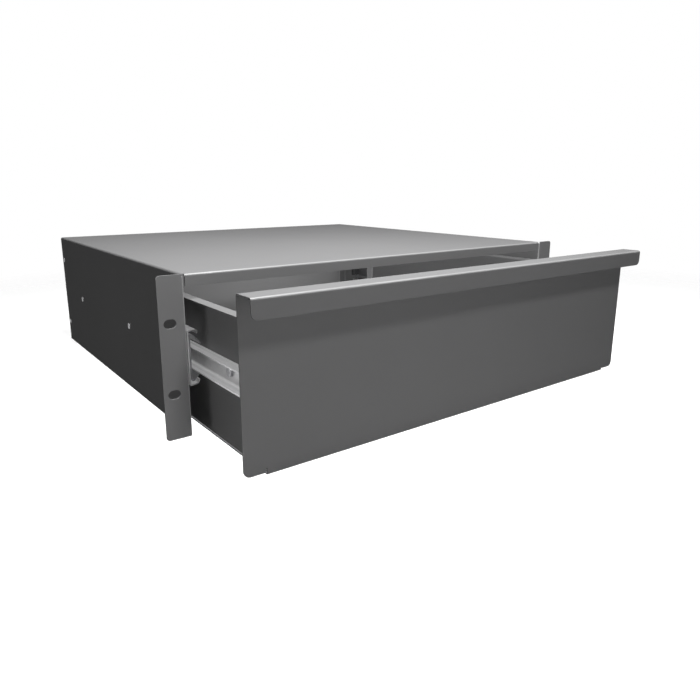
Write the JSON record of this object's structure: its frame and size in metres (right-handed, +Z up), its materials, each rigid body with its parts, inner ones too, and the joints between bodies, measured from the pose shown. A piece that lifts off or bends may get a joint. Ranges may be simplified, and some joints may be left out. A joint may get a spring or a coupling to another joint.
{
  "type": "sliding rack drawer",
  "caption": "Folded steel rack-mount case with a pull-out drawer on full-extension ball-bearing slides, a full-width handle hook and slotted rack ears.",
  "frame": {"origin": "centre of the four-slot rack mounting pattern, on the front face of the rack ears", "axes": "+X to the right across the rack's width, +Y back into the rack, +Z up; the drawer opens towards -Y"},
  "size_m": [0.4826, 0.5193, 0.1324],
  "materials": {
    "case_coat": "smooth satin powder coat, dark grey",
    "drawer_coat": "smooth satin powder coat, dark grey",
    "rail_zinc": "bright zinc plate on rolled steel",
    "screw_zinc": "zinc plate",
    "cage_steel": "plain bright strip",
    "ball_steel": "polished bearing steel",
    "buffer_rubber": "moulded rubber"
  },
  "bodies": {
    "case": {"case_shell": "case_coat", "rear_panel": "case_coat", "rear_panel_screws": "screw_zinc", "case_rail_screws": "screw_zinc", "left_case_rail": "rail_zinc", "right_case_rail": "rail_zinc", "left_rear_buffer": "buffer_rubber", "right_rear_buffer": "buffer_rubber"},
    "left_middle": {"left_middle_rail": "rail_zinc"},
    "right_middle": {"right_middle_rail": "rail_zinc"},
    "left_outer_cage": {"left_outer_ball_cage": "cage_steel", "left_outer_balls": "ball_steel"},
    "right_outer_cage": {"right_outer_ball_cage": "cage_steel", "right_outer_balls": "ball_steel"},
    "left_inner_cage": {"left_inner_ball_cage": "cage_steel", "left_inner_balls": "ball_steel"},
    "right_inner_cage": {"right_inner_ball_cage": "cage_steel", "right_inner_balls": "ball_steel"},
    "drawer": {"drawer_tray": "drawer_coat", "left_drawer_side": "drawer_coat", "right_drawer_side": "drawer_coat", "left_drawer_rail": "rail_zinc", "right_drawer_rail": "rail_zinc", "drawer_rail_screws": "screw_zinc"}
  },
  "joints": [
    {"name": "middle_slide", "type": "slide", "parent": "case", "child": "left_middle", "axis": [0, -1, 0], "range_m": [0, 0.175]},
    {"name": "right_middle_slide", "type": "slide", "parent": "case", "child": "right_middle", "axis": [0, -1, 0], "range_m": [0, 0.175]},
    {"name": "drawer_slide", "type": "slide", "parent": "left_middle", "child": "drawer", "axis": [0, -1, 0], "range_m": [-0.098, 0.077]},
    {"name": "left_outer_cage_roll", "type": "slide", "parent": "case", "child": "left_outer_cage", "axis": [0, -1, 0], "range_m": [0, 0.0875]},
    {"name": "right_outer_cage_roll", "type": "slide", "parent": "case", "child": "right_outer_cage", "axis": [0, -1, 0], "range_m": [0, 0.0875]},
    {"name": "left_inner_cage_roll", "type": "slide", "parent": "left_middle", "child": "left_inner_cage", "axis": [0, -1, 0], "range_m": [-0.049, 0.0385]},
    {"name": "right_inner_cage_roll", "type": "slide", "parent": "right_middle", "child": "right_inner_cage", "axis": [0, -1, 0], "range_m": [-0.049, 0.0385]}
  ],
  "couplings": [
    {"joint": "right_middle_slide", "follows": "middle_slide", "ratio": 1},
    {"joint": "left_outer_cage_roll", "follows": "middle_slide", "ratio": 0.5},
    {"joint": "right_outer_cage_roll", "follows": "middle_slide", "ratio": 0.5},
    {"joint": "left_inner_cage_roll", "follows": "drawer_slide", "ratio": 0.5},
    {"joint": "right_inner_cage_roll", "follows": "drawer_slide", "ratio": 0.5}
  ]
}
